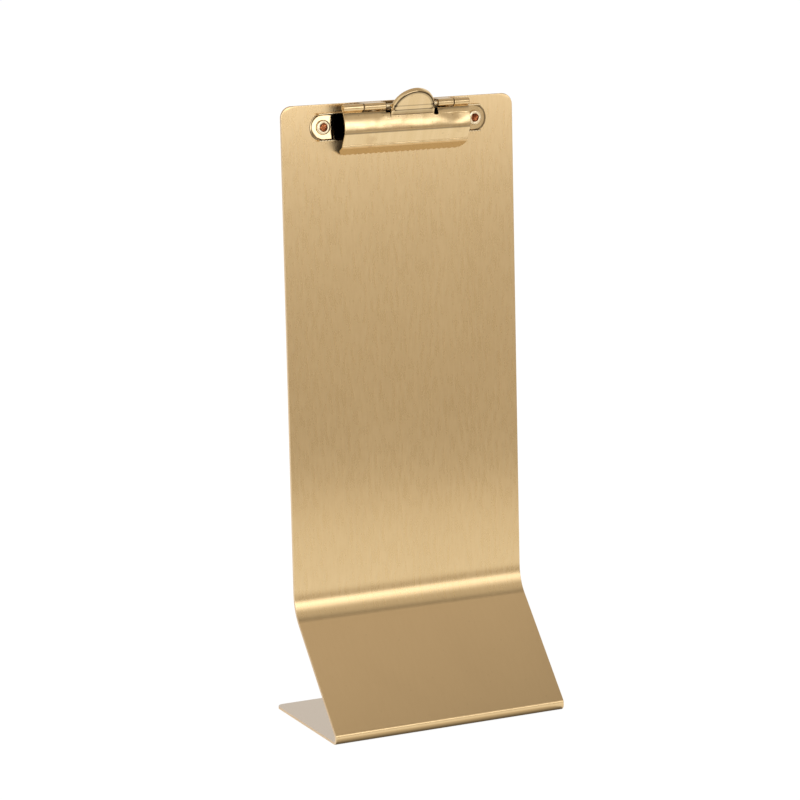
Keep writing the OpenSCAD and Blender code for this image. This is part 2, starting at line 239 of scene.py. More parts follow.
def turned(name, profile, place, count, lobes=None, hollow=None):
    # A profile of (radius, height) carried round its axis, with a point at each end of it:
    # radius times cosine and sine of the angle, swollen by the lobes' own wave
    profile = np.array(profile, float)
    angle = np.arange(count) * 2 * math.pi / count
    radius, height = (np.repeat(profile[1:-1, k][:, None], count, 1) for k in range(2))
    if lobes is not None:
        radius, height = lobes(radius, height, angle[None, :])
    rings = np.stack([radius * np.cos(angle), radius * np.sin(angle), height], -1)
    poles = np.array([[0, 0, profile[0, 1]], [0, 0, profile[-1, 1]]])
    x, y, z = np.concatenate([rings.reshape(-1, 3), poles]).T
    marks = hollow and {"hollow": hollow(np.hypot(x, y), z)}
    return closedRings(name, place(x, y, z), count, marks)


def drawnWire(name, centres, size):
    # A round section carried along a line: each ring stands square to the line's own
    # direction, and a smaller ring and a point close each end
    ahead = np.gradient(centres, axis=0)
    ahead /= np.linalg.norm(ahead, axis=1)[:, None]
    side = np.cross(ahead, [1.0, 0.0, 0.0])
    side /= np.linalg.norm(side, axis=1)[:, None]
    rise = np.cross(ahead, side)
    count, radius, (endShare, endOut, tipOut) = len(centres), size["radius"], size["end"]
    pick = np.clip(np.arange(-1, count + 1), 0, count - 1)
    swell, push = np.ones(count + 2), np.zeros(count + 2)
    swell[[0, -1]], push[[0, -1]] = endShare, np.array([-endOut, endOut]) * radius
    line = centres[pick] + push[:, None] * ahead[pick]
    angle = np.arange(size["sides"]) * 2 * math.pi / size["sides"]
    rings = (line[:, None] + radius * swell[:, None, None]
             * (np.cos(angle)[None, :, None] * side[pick][:, None]
                + np.sin(angle)[None, :, None] * rise[pick][:, None]))
    tip = tipOut * radius
    ends = np.stack([line[0] - tip * ahead[0], line[-1] + tip * ahead[-1]])
    return closedRings(name, np.concatenate([rings.reshape(-1, 3), ends]), size["sides"])


# Where the clip stands: on the panel, which leans back

panelPlace = {"topY": 20.4387, "topZ": 264.6667, "lean": 2.7, "hingeOut": 7.4, "hingeDrop": 1.55,
              "rivetDrop": 9.6}


def panelWay(across, forward, upward):
    # A direction on the panel: forward and upward turned by the panel's lean
    cosine, sine = wayOf(panelPlace["lean"])
    return np.stack([across + 0 * forward, -forward * cosine + upward * sine,
                     forward * sine + upward * cosine], -1)


def onPanel(across, forward, upward):
    # The same from the middle of the panel's top edge on its front face
    return panelWay(across, forward, upward) + [0, panelPlace["topY"], panelPlace["topZ"]]


def onHinge(across, forward, upward):
    # The same from the pin's middle
    return onPanel(across, forward + panelPlace["hingeOut"], upward - panelPlace["hingeDrop"])


# Camera

cameraView = {"azimuth": -27.016, "elevation": 11.773, "distance": 1.4099,
              "aim": (0.0, -0.0005, 0.150), "lens": 148.608, "sensor": 36.0,
              "shift": (-0.0257, -0.0344), "clip": (0.01, 50.0)}


def lookAlong(holder, spot, way):
    # Stands a camera or lamp at the spot, looking along a direction
    holder.location = spot
    holder.rotation_mode = "QUATERNION"
    holder.rotation_quaternion = way.to_track_quat("-Z", "Y")


def placeCamera(view):
    # Its place is the distance from the aim, along the azimuth and up by the elevation
    turn, rise = math.radians(view["azimuth"]), math.radians(view["elevation"])
    back = Vector((math.sin(turn) * math.cos(rise), -math.cos(turn) * math.cos(rise),
                   math.sin(rise)))
    lens = bpy.data.cameras.new("viewCamera")
    lens.sensor_width, lens.lens = view["sensor"], view["lens"]
    lens.shift_x, lens.shift_y = view["shift"]
    lens.clip_start, lens.clip_end = view["clip"]
    camera = addObject("viewCamera", lens)
    lookAlong(camera, Vector(view["aim"]) + back * view["distance"], -back)
    bpy.context.scene.camera = camera


placeCamera(cameraView)
bpy.context.scene.view_settings.view_transform = "Standard"
print("camera placed")


# Node helpers

def shade(red, green, blue):
    # A screen colour, 0 to 255, as the light it stands for
    parts = np.array([red, green, blue]) / 255
    light = np.where(parts > 0.04045, ((parts + 0.055) / 1.055) ** 2.4, parts / 12.92)
    return (*map(float, light), 1.0)


def addNode(tree, kind, inputs=None, **settings):
    # Settings come first, because a group has no inputs before it has its tree
    made = tree.nodes.new(kind)
    for key, value in settings.items():
        setattr(made, key, value)
    for key, value in (inputs or {}).items():
        if isinstance(value, bpy.types.NodeSocket):
            tree.links.new(value, made.inputs[key])
        else:
            made.inputs[key].default_value = value
    return made


def sums(tree, operation, first, second=0.0):
    return addNode(tree, "ShaderNodeMath", {0: first, 1: second}, operation=operation).outputs[0]


def times(tree, first, second):
    return sums(tree, "MULTIPLY", first, second)


def added(tree, start, *parts):
    # A value plus shares of masks, each given as (mask, share)
    for mask, share in parts:
        start = sums(tree, "ADD", start, times(tree, mask, share))
    return start


def blendColour(tree, share, first, second):
    return addNode(tree, "ShaderNodeMix", {0: share, 6: first, 7: second},
                   data_type="RGBA").outputs[2]


def layered(tree, colour, mask, layer):
    # A tint over a colour where the mask is. The layer is (strength, tint)
    return blendColour(tree, times(tree, mask, layer[0]), colour, layer[1])


def ramp(tree, value, low, high, outLow=0.0, outHigh=1.0):
    # Smooth step from one value to another
    return addNode(tree, "ShaderNodeMapRange", {0: value, 1: low, 2: high, 3: outLow, 4: outHigh},
                   interpolation_type="SMOOTHSTEP").outputs[0]


def banded(tree, value, stops):
    # Strengths between stops, each (share of the way, strength)
    peak = max(level for spot, level in stops)
    band = addNode(tree, "ShaderNodeValToRGB", {0: value})
    for spot, level in stops[1:-1]:
        band.color_ramp.elements.new(spot)
    for stop, (spot, level) in zip(band.color_ramp.elements, stops):
        stop.position, stop.color = spot, (level / peak,) * 3 + (1,)
    return times(tree, band.outputs[0], peak)


def noise(tree, place, scale, detail, roughness=0.5, distortion=0.0):
    return addNode(tree, "ShaderNodeTexNoise", {
        "Vector": place, "Scale": scale, "Detail": detail, "Roughness": roughness,
        "Distortion": distortion}).outputs[0]


def split(tree, vector):
    return addNode(tree, "ShaderNodeSeparateXYZ", {0: vector}).outputs


def newGroup(name, inputs):
    # A group and its inputs, of which one without a value is a vector
    tree = bpy.data.node_groups.new(name, "ShaderNodeTree")
    for label, value in inputs.items():
        kind = "NodeSocketVector" if value is None else "NodeSocketFloat"
        socket = tree.interface.new_socket(label, in_out="INPUT", socket_type=kind)
        if value is not None:
            socket.default_value = value
    return tree, tree.nodes.new("NodeGroupInput").outputs


def closeGroup(tree, results):
    # Puts the named values out of the group
    for label in results:
        tree.interface.new_socket(label, in_out="OUTPUT", socket_type="NodeSocketFloat")
    out = tree.nodes.new("NodeGroupOutput")
    for label, value in results.items():
        tree.links.new(value, out.inputs[label])
    return tree


# Groups that more than one finish uses. Their pairs are where a mask starts and is full

grainValues = {"detail": 3.0, "fineRoughness": 0.55, "broadScale": 0.11}
markValues = {"cloud": (0.35, 0.7), "cloudNoise": (4.0, 0.55, 0.6), "speckSize": (0.28, 0.1),
              "speckChance": (0.8, 0.95), "scratchTurn": (0.5, 0.9, 0.7),
              "scratchStretch": (1.0, 0.05, 1.0), "scratchScale": 900.0, "scratch": (0.69, 0.74)}
edgeValues = {"cut": (0.03, 0.0), "unevenScale": 260.0, "unevenDetail": 3.0, "least": 0.5}


def makeGrainGroup(values):
    # Drawn lines of a brushed or rolled face: noise stretched along the second coordinate
    tree, given = newGroup("drawnGrain", {"Vector": None, "Lines": 60.0, "Stretch": 0.02})
    lines = given["Lines"]
    scale = addNode(tree, "ShaderNodeCombineXYZ", {
        0: lines, 1: times(tree, lines, given["Stretch"]), 2: lines}).outputs[0]
    spot = addNode(tree, "ShaderNodeVectorMath", {0: given["Vector"], 1: scale},
                   operation="MULTIPLY").outputs[0]
    return closeGroup(tree, {
        "Fine": noise(tree, spot, 1.0, values["detail"], values["fineRoughness"]),
        "Broad": noise(tree, spot, values["broadScale"], values["detail"])})


def makeMarkGroup(values):
    # Marks of handling: soft clouds, small specks and hair scratches
    tree, given = newGroup("handledMarks", {"Vector": None, "Cloud Scale": 40.0,
                                            "Speck Scale": 500.0})
    spot = given["Vector"]
    cloud = noise(tree, spot, given["Cloud Scale"], *values["cloudNoise"])
    cell = addNode(tree, "ShaderNodeTexVoronoi", {"Vector": spot, "Scale": given["Speck Scale"]})
    chance = addNode(tree, "ShaderNodeSeparateColor", {0: cell.outputs["Color"]}).outputs[0]
    dot = ramp(tree, cell.outputs["Distance"], *values["speckSize"])
    turn = addNode(tree, "ShaderNodeMapping", {
        "Vector": spot, "Rotation": values["scratchTurn"],
        "Scale": values["scratchStretch"]}).outputs[0]
    hair = noise(tree, turn, values["scratchScale"], 1.0)
    return closeGroup(tree, {
        "Cloud": ramp(tree, cloud, *values["cloud"]),
        "Speck": times(tree, dot, ramp(tree, chance, *values["speckChance"])),
        "Scratch": ramp(tree, hair, *values["scratch"])})


def makeEdgeGroup(values):
    # Where an edge was cut, and where hands have worn the metal beside it: the distance over
    # an uneven reach
    tree, given = newGroup("cutEdges", {"Distance": 1.0, "Width": 0.8, "Vector": None})
    uneven = noise(tree, given["Vector"], values["unevenScale"], values["unevenDetail"])
    reach = times(tree, given["Width"], sums(tree, "ADD", uneven, values["least"]))
    share = sums(tree, "DIVIDE", given["Distance"], reach)
    return closeGroup(tree, {"Cut": ramp(tree, given["Distance"], *values["cut"]),
                             "Worn": ramp(tree, share, 1.0, 0.0)})


drawnGrain, handledMarks = makeGrainGroup(grainValues), makeMarkGroup(markValues)
cutEdges = makeEdgeGroup(edgeValues)


# Finishes. A layer is (strength, tint), a bump is (strength, height in metres), and blank
# places are in the blank map's units of 100 mm

def newMaterial(name):
    material = bpy.data.materials.new(name)
    material.use_nodes = True
    tree = material.node_tree
    return material, tree, tree.nodes["Principled BSDF"]


def markOf(tree, mark):
    return addNode(tree, "ShaderNodeAttribute", attribute_name=mark,
                   attribute_type="GEOMETRY").outputs["Fac"]


def startFinish(name, look):
    # A material with the masks that its finish is mixed from. Sheet metal, which has wear at
    # cut edges, takes its grain from the blank's map
    material, tree, shader = newMaterial(name)
    place = addNode(tree, "ShaderNodeTexCoord").outputs["Object"]
    masks = {"place": place, "flat": place}
    if "wear" in look:
        masks["flat"] = addNode(tree, "ShaderNodeUVMap", uv_map="blank").outputs[0]
    groups = [(drawnGrain, {"Vector": masks["flat"], "Lines": look["lines"],
                            "Stretch": look["stretch"]}),
              (handledMarks, {"Vector": place, "Cloud Scale": look["clouds"],
                              "Speck Scale": look["specks"]})]
    if "wear" in look:
        groups.append((cutEdges, {"Distance": markOf(tree, "rimDistance"),
                                  "Width": look["wear"], "Vector": place}))
    for group, inputs in groups:
        made = addNode(tree, "ShaderNodeGroup", inputs, node_tree=group)
        masks.update({socket.name.lower(): socket for socket in made.outputs})
    return material, tree, shader, masks


def joinShader(tree, shader, colour, roughness, height, bump, under=None):
    raised = addNode(tree, "ShaderNodeBump", {"Height": height, "Strength": bump[0],
                                              "Distance": bump[1]})
    if under is not None:
        tree.links.new(under, raised.inputs["Normal"])
    for label, value in (("Base Color", colour), ("Roughness", roughness),
                         ("Normal", raised.outputs[0])):
        tree.links.new(value, shader.inputs[label])
    shader.inputs["Metallic"].default_value = 1.0


satinBrass = {
    "colour": shade(234, 205, 156), "deep": shade(227, 197, 147), "cut": shade(234, 208, 174),
    "greyTone": shade(232, 223, 213), "cloud": (0.10, shade(196, 166, 122)),
    "speck": (0.06, shade(150, 120, 84)), "worn": (0.25, shade(236, 214, 176)),
    "lines": 64.0, "stretch": 0.18, "fineShare": 0.8, "broadShare": 0.2, "streak": (0.3, 0.7),
    "calmBelow": (1.15, 1.25), "calm": 0.2, "clouds": 14.0, "specks": 420.0, "wear": 0.7,
    "roughness": 0.28, "streakRough": 0.03, "cutRough": 0.15, "bump": (0.035, 0.00004),
    "anisotropic": 0.95}


def makeSatinBrass(look):
    # Streaks of grain between two colours, then clouds, specks and worn edges, and last the
    # foot's greyer tone and the bare cut edge. The slant and the foot were brushed more lightly
    material, tree, shader, masks = startFinish("satinBrass", look)
    tone = added(tree, times(tree, masks["fine"], look["fineShare"]),
                 (masks["broad"], look["broadShare"]))
    depth = ramp(tree, split(tree, masks["flat"])[1], *look["calmBelow"], look["calm"], 1.0)
    streak = sums(tree, "SUBTRACT", ramp(tree, tone, *look["streak"]), 0.5)
    streak = times(tree, streak, depth)
    colour = blendColour(tree, sums(tree, "ADD", streak, 0.5), look["deep"], look["colour"])
    for mark in ("cloud", "speck", "worn"):
        colour = layered(tree, colour, masks[mark], look[mark])
    colour = blendColour(tree, markOf(tree, "stain"), colour, look["greyTone"])
    colour = blendColour(tree, masks["cut"], colour, look["cut"])
    rough = added(tree, look["roughness"], (streak, look["streakRough"]),
                  (masks["cut"], look["cutRough"]))
    joinShader(tree, shader, colour, rough, times(tree, masks["fine"], depth), look["bump"])
    shader.inputs["Anisotropic"].default_value = look["anisotropic"]
    tangent = addNode(tree, "ShaderNodeTangent", direction_type="UV_MAP", uv_map="blank")
    tree.links.new(tangent.outputs[0], shader.inputs["Tangent"])
    return material


polishedBrass = {
    "colour": shade(227, 199, 152), "deep": shade(222, 193, 144), "greyTone": shade(203, 180, 140),
    # the first colour on the next line is a dark brown that paints shade inside the jaw, on the web
    # behind it, in creases and along outlines
    "stain": shade(40, 27, 17), "smudge": (0.35, shade(186, 150, 104)),
    "speck": (0.4, shade(120, 88, 56)), "cut": (0.8, shade(238, 220, 182)),
    "tone": (0.35, 0.65), "smudgeFrom": (0.55, 1.0), "lines": 260.0, "stretch": 0.03,
    "clouds": 90.0, "specks": 700.0, "wear": 0.5, "roughness": 0.14, "cloudRough": 0.07,
    "cutRough": 0.12, "scratch": -0.5, "bump": (0.12, 0.00003), "waves": 85.0, "ripple": 0.0003}
# the jaw's finish is the same with bands of painted shade across the foot of its tab: the tab's
# middle, half width and inner half width, and the bands' reach up the blank
jawBrass = {**polishedBrass, "tab": (0.024, 0.1, 0.09), "reach": (0.19, 0.26),
            "shadeBands": ((0.0, 0.0), (0.043, 0.38), (0.33, 0.34), (0.37, 0.2), (0.4, 0.6),
                      (0.47, 0.6), (0.51, 0.0), (0.79, 0.0), (0.83, 0.42), (0.88, 0.42),
                      (0.92, 0.0), (1.0, 0.0))}


def makePolishedBrass(look, name):
    # Two colours mixed by the grain, with smudges, specks and cut edges over them, then a
    # greyer tone where the mark is below zero and painted shade where it is above
    material, tree, shader, masks = startFinish(name, look)
    colour = blendColour(tree, ramp(tree, masks["broad"], *look["tone"]), look["deep"],
                         look["colour"])
    masks["smudge"] = ramp(tree, masks["cloud"], *look["smudgeFrom"])
    for mark in ("smudge", "speck", "cut"):
        colour = layered(tree, colour, masks[mark], look[mark])
    stain = markOf(tree, "stain")
    # bands of painted shade across the foot of the jaw's tab
    if "shadeBands" in look:
        middle, half, inner = look["tab"]
        flat = split(tree, masks["flat"])
        aside = sums(tree, "ABSOLUTE", sums(tree, "SUBTRACT", flat[0], middle))
        band = banded(tree, ramp(tree, flat[1], *look["reach"]), look["shadeBands"])
        stain = added(tree, stain, (band, ramp(tree, aside, half, inner)))
    for full, tint in ((-1.0, "greyTone"), (1.0, "stain")):
        colour = blendColour(tree, ramp(tree, stain, 0.0, full), colour, look[tint])
    rough = added(tree, look["roughness"], (masks["cloud"], look["cloudRough"]),
                  (masks["cut"], look["cutRough"]))
    ripple = addNode(tree, "ShaderNodeBump", {
        "Height": noise(tree, masks["place"], look["waves"], 1.0), "Strength": 1.0,
        "Distance": look["ripple"]}).outputs[0]
    height = added(tree, masks["fine"], (masks["scratch"], look["scratch"]))
    joinShader(tree, shader, colour, rough, height, look["bump"], ripple)
    return material


rivetBrass = {
    "colour": shade(240, 222, 186), "cloud": (0.4, shade(222, 196, 152)),
    # the hollow's dark copper is partly the rivet's own colour and partly painted shade
    "hollow": shade(84, 36, 16), "lump": shade(206, 126, 80), "hollowEdge": (0.2, 0.8),
    "lines": 900.0, "stretch": 1.0, "clouds": 520.0, "specks": 1600.0, "roughness": 0.24,
    "cloudRough": 0.12, "bump": (0.25, 0.00008)}


def makeRivetBrass(look):
    # Cloudy brass, and a lumpy copper colour in the hollow, darkened to paint the hollow's shade
    material, tree, shader, masks = startFinish("rivetBrass", look)
    colour = layered(tree, look["colour"], masks["cloud"], look["cloud"])
    inside = blendColour(tree, masks["cloud"], look["hollow"], look["lump"])
    share = ramp(tree, markOf(tree, "hollow"), *look["hollowEdge"])
    rough = added(tree, look["roughness"], (masks["cloud"], look["cloudRough"]))
    joinShader(tree, shader, blendColour(tree, share, colour, inside), rough,
               sums(tree, "ADD", masks["fine"], masks["cloud"]), look["bump"])
    return material


springSteel = {
    "colour": shade(188, 184, 176), "cloud": (0.6, shade(136, 122, 104)), "lines": 2500.0,
    "stretch": 0.2, "clouds": 300.0, "specks": 1500.0, "roughness": 0.28, "fineRough": 0.12,
    "bump": (0.2, 0.00003)}


def makeSpringSteel(look):
    # Cloudy steel with drawn lines
    material, tree, shader, masks = startFinish("springSteel", look)
    colour = layered(tree, look["colour"], masks["cloud"], look["cloud"])
    rough = added(tree, look["roughness"], (masks["fine"], look["fineRough"]))
    joinShader(tree, shader, colour, rough, masks["fine"], look["bump"])
    return material


satin, polished = makeSatinBrass(satinBrass), makePolishedBrass(polishedBrass, "polishedBrass")
pressed = makePolishedBrass(jawBrass, "jawBrass")
rivetMetal, steel = makeRivetBrass(rivetBrass), makeSpringSteel(springSteel)
print("finishes made")


def settle(piece, material, body, node):
    piece.data.materials.append(material)
    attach(piece, body)
    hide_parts(node)
    print("made", piece.name, len(piece.data.polygons), "faces")


# The pieces. A step is the grid's spacing across and along, a gap is how close it comes to
# the lines that must be there, bell values are (height, middle, spread), and the lines of
# bends are (part of the path, how many)

sheetSize = {
    "width": 110.0, "thickness": 1.2, "edge": 0.16, "rear": 30.5, "footLength": 58.34,
    "nose": ((1.7, -84.0), (5.15, -19.0), (1.1, -29.0)), "slantLength": 52.92,
    "bend": ((19.0, 34.8), (45.0, 4.5)), "panelLength": 207.38, "topCorner": 5.0,
    "rearCorner": 3.2, "cornerLines": 13, "greyFade": 1.5, "bendEdge": 0.12,
    "bendLines": ((1, 15), (2, 7), (3, 11), (5, 31), (6, 9)), "step": (2.75, 4.0),
    "gap": (0.3, 0.02)}


def makeSheet(size):
    # The section is a bent path in depth and height, and the width shrinks towards each end
    # by what its round corners take: r less the root of r squared less the way in squared.
    # The foot's upper face takes a greyer, paler tone
    nose, bend = [[arcPart(*arc) for arc in size[k]] for k in ("nose", "bend")]
    path = bentPath((size["rear"], size["thickness"] / 2), 180, [
        (size["footLength"], 0), *nose, (size["slantLength"], 0), *bend,
        (size["panelLength"], 0)])
    stops, half, beside = path["stations"], size["width"] / 2, lipLines(size["edge"])
    end = stops[-1]
    quarter = 1 - np.cos(np.linspace(0, math.pi / 2, size["cornerLines"]))
    across = gridLines([-half + beside, half - beside, [0.0]],
                       [np.arange(-half, half, size["step"][0])], size["gap"][0])
    along = gridLines(
        [beside, end - beside, *(stops[1:-1] + k * size["bendEdge"] for k in (-1, 0, 1)),
         *divided(path, size["bendLines"])],
        [np.arange(0, end, size["step"][1]), size["rearCorner"] * quarter,
         end - size["topCorner"] * quarter], size["gap"][1])
    x, s = np.meshgrid(across, along, indexing="ij")

    def cornerCut(way, radius):
        left = np.clip(radius - way, 0, radius)
        return radius - np.sqrt(radius ** 2 - left ** 2)

    x = x * (half - cornerCut(s, size["rearCorner"]) - cornerCut(end - s, size["topCorner"])) / half
    point, normal = walk(path, s)
    middle = np.stack([x, point[..., 0], point[..., 1]], -1)
    normal = np.stack([0 * x, normal[..., 0], normal[..., 1]], -1)
    return pressedSheet("sheetBody", np.stack([x, s], -1), middle, normal,
                        keptCells(across, along, end, ()), size,
                        (0.0, held((stops[3] - s) / size["greyFade"])))


settle(makeSheet(sheetSize), satin, "stand", "stand_sheet")


# The clip plate: a channel with round ears, and two tongues rolled round the pin

plateSize = {
    "thickness": 0.7, "edge": 0.24, "flangeHalf": 38.4, "flangeOut": 2.2, "flange": 1.1,
    "bendRadius": 0.75, "web": 9.8, "earRadius": 6.0, "earAt": 36.0, "earFrom": 32.0,
    "earLean": 2.4, "earProud": 0.28, "earTurn": 3.0, "earFade": 0.6, "earStep": 0.25,
    "stepAt": 5.0, "stepWidth": 0.6, "earNotch": (0.55, 5.35, 0.28), "tongueRise": 3.2,
    "tongueBend": 1.15, "tongueReach": 5.9, "rollRadius": 1.2, "rollTurn": -303.0,
    # darkHalf through the roll values below paint shade on the web behind the jaw, round the ears,
    # under them and at the rolls' ends
    "relief": 0.5, "tongues": ((-20.3, -9.9), (14.7, 22.3)), "darkHalf": 31.0,
    "darkFade": 0.2, "shadeDashes": (0.8, 1.6), "dashDistance": 1.35, "rimShade": (0.95, 6.0, 0.25),
    "stepShade": (0.9, 5.3, 0.24), "rollShade": (0.7, 0.0, 0.35), "step": (1.2, 0.8),
    "gap": (0.12, 0.03), "earColumns": (6.4, 0.25), "earRows": (-67, 67, 41),
    "bendLines": ((1, 9), (3, 9)), "tongueLines": ((3, 13), (5, 37))}


def makePlate(size):
    # Two bent paths share the channel's web, and each column of the grid takes one of them:
    # the folded flange, or a tongue that rises, turns forward and rolls. The web's outer
    # columns are stretched to the ears' circle, and the ears stand proud, lean and step back
    flange, corner, web = (size["flange"], 0), arcPart(size["bendRadius"], -90), size["web"]
    start = (size["flangeOut"], -size["earRadius"] + size["thickness"] / 2)
    strip = bentPath(start, 180, [flange, corner, (web, 0), corner, flange])
    tongue = bentPath(start, 180, [
        flange, corner, (web + size["tongueRise"], 0), arcPart(size["tongueBend"], -90),
        (size["tongueReach"], 0), arcPart(size["rollRadius"], size["rollTurn"])])
    beside, half, relief = lipLines(size["edge"]), size["flangeHalf"], size["relief"]
    (webStart, webEnd, stripEnd), tongueEnd = strip["stations"][[2, 3, -1]], tongue["stations"][-1]
    webMiddle, dark = (webStart + webEnd) / 2, size["darkHalf"]
    cuts = [line for left, right in size["tongues"] for line in
            (left - relief - beside, left + beside, right - beside, right + relief + beside)]
    columns = [half - np.arange(0, *size["earColumns"]), np.array([dark, dark - size["darkFade"]])]
    across = gridLines([-half + beside, half - beside] + cuts,
                       [np.arange(-half, half, size["step"][0])]
                       + [side * lines for side in (-1, 1) for lines in columns], size["gap"][0])
    rows = webMiddle + size["earRadius"] * np.sin(np.radians(np.linspace(*size["earRows"])))
    along = gridLines(
        [beside, stripEnd - beside, tongueEnd - beside, webEnd - beside, strip["stations"][1:5],
         tongue["stations"][3:6]],
        [*divided(strip, size["bendLines"]), *divided(tongue, size["tongueLines"]), rows,
         np.arange(0, tongueEnd, size["step"][1])], size["gap"][1])
    x, s = np.meshgrid(across, along, indexing="ij")
    above = s - webMiddle
    rise = np.abs(above)
    reach = size["earAt"] + np.sqrt(np.maximum(size["earRadius"] ** 2 - rise ** 2, 0))
    stretch = np.maximum(reach, half) - bell(rise, *size["earNotch"]) - half
    x = x + np.sign(x) * stretch * held((np.abs(x) - size["earFrom"]) / (half - size["earFrom"]))
    far = np.abs(x)
    middleOf, normalOf = walk(strip, s)
    point, normal = walk(tongue, s)
    onTongue = np.any([(across > left - 1e-4) & (across < right + 1e-4)
                       for left, right in size["tongues"]], 0)
    middleOf[onTongue], normalOf[onTongue] = point[onTongue], normal[onTongue]
    spans = [span for left, right in size["tongues"] for span in
             ((left - relief, right + relief, webEnd), (left, right, tongueEnd))]

    ring, outer = np.hypot(far - size["earAt"], above), far > size["earAt"]
    step = size["earStep"] * held((ring - size["stepAt"]) / size["stepWidth"])
    onEar = held((far - dark) / size["earFade"]) * (rise < web / 2)
    back = onEar * (math.tan(math.radians(size["earLean"])) * above - size["earProud"]
                    + math.tan(math.radians(size["earTurn"])) * np.maximum(far - dark, 0)
                    + step * outer)
    middleOf = middleOf + back[..., None] * normalOf
    middle = onPanel(x, middleOf[..., 0], middleOf[..., 1] - panelPlace["rivetDrop"])

    # painted shade: the web behind the jaw, dark outlines round the ears, dark dashes under them and
    # dark lines at the rolls' ends
    outline = bell(ring, *size["rimShade"]) + bell(ring, *size["stepShade"])
    strength, steep = size["shadeDashes"]
    shadeDashes = strength * held(steep * np.sin(x * 2 * math.pi / size["dashDistance"])) * (s < webStart)
    behind = held((dark - far) / size["darkFade"]) * (s < webEnd) + outline * outer \
        + shadeDashes * (far > dark)
    ends = np.abs(x[..., None] - np.ravel(size["tongues"])).min(-1)
    rolled = bell(ends, *size["rollShade"]) * (s > webEnd)
    return pressedSheet("clipPlate", np.stack([x, s], -1), middle,
                        panelWay(0 * x, normalOf[..., 0], normalOf[..., 1]),
                        keptCells(across, along, stripEnd, spans), size, (rolled, held(behind)))


settle(makePlate(plateSize), polished, "stand", "clip_base_plate")


# The jaw: toothed lip, bead, flat face, crease, shell, knuckles and thumb tab

jawSize = {
    "half": 29.75, "thickness": 0.7, "edge": 0.14, "shellRadius": 12.454,
    "shellCentre": (-10.554, -8.1), "touch": 37.5, "root": 16.8, "crease": 13.0,
    "creaseRadius": 2.0, "face": 29.0, "beadPoint": (-1.878, -17.3), "beadRadius": 1.2,
    "lip": 56.93, "tip": (-7.1, -20.7), "knuckleRadius": 1.2, "rollTurn": -299.0,
    "notch": 29.2, "beadRise": 0.33, "beadSpread": 0.45, "beadUp": 0.7, "crown": (0.085, 14.0, 1.2),
    "pull": (0.11, 20.2, 1.2), "pullFade": 3.0, "dentAcross": (0.35, 24.0, 4.5),
    "dentAlong": (1.0, 18.6, 2.5), "knuckles": (-20.6, 22.6), "bay": (-9.9, 14.7),
    "tabAt": 2.4, "tabRadius": 10.2, "tabLean": 31.0, "tabCrease": (1.0, 22.0), "tabBend": 4.5,
    "rimBend": 0.9, "rimStrip": 2.2, "rimFrom": 9.0, "slotDip": 0.35, "slotFade": 5.0,
    "slotStep": 1.7, "slotShort": 0.27, "toothPitch": 2.5, "toothRadius": 0.9,
    "toothDepth": 0.5, "toothLines": (0.5, 0.78, 0.94, 1.0), "chamfer": 1.8,
    # the next two lines paint shade inside the jaw, in its crease, along the tab's rim and at the
    # rolls' ends
    "insideShade": 0.9, "insideFade": 1.5, "creaseShade": (0.65, 0.2, 0.4),
    "rimShade": (0.85, 0.3, 0.34), "rimFade": 0.05, "rollShade": (0.7, 0.0, 0.35),
    "lipGrey": 0.3,
    "step": (1.25, 0.9), "gap": (0.05, 0.04), "lipStep": 0.7, "slotLines": (2.1, 9),
    "bendLines": ((1, 9), (3, 7), (4, 17), (5, 13), (6, 41)), "tabLines": ((5, 6), (6, 11)),
    "beadLines": (-2.4, 2.4, 25), "rimLines": 15, "innerLines": 7}


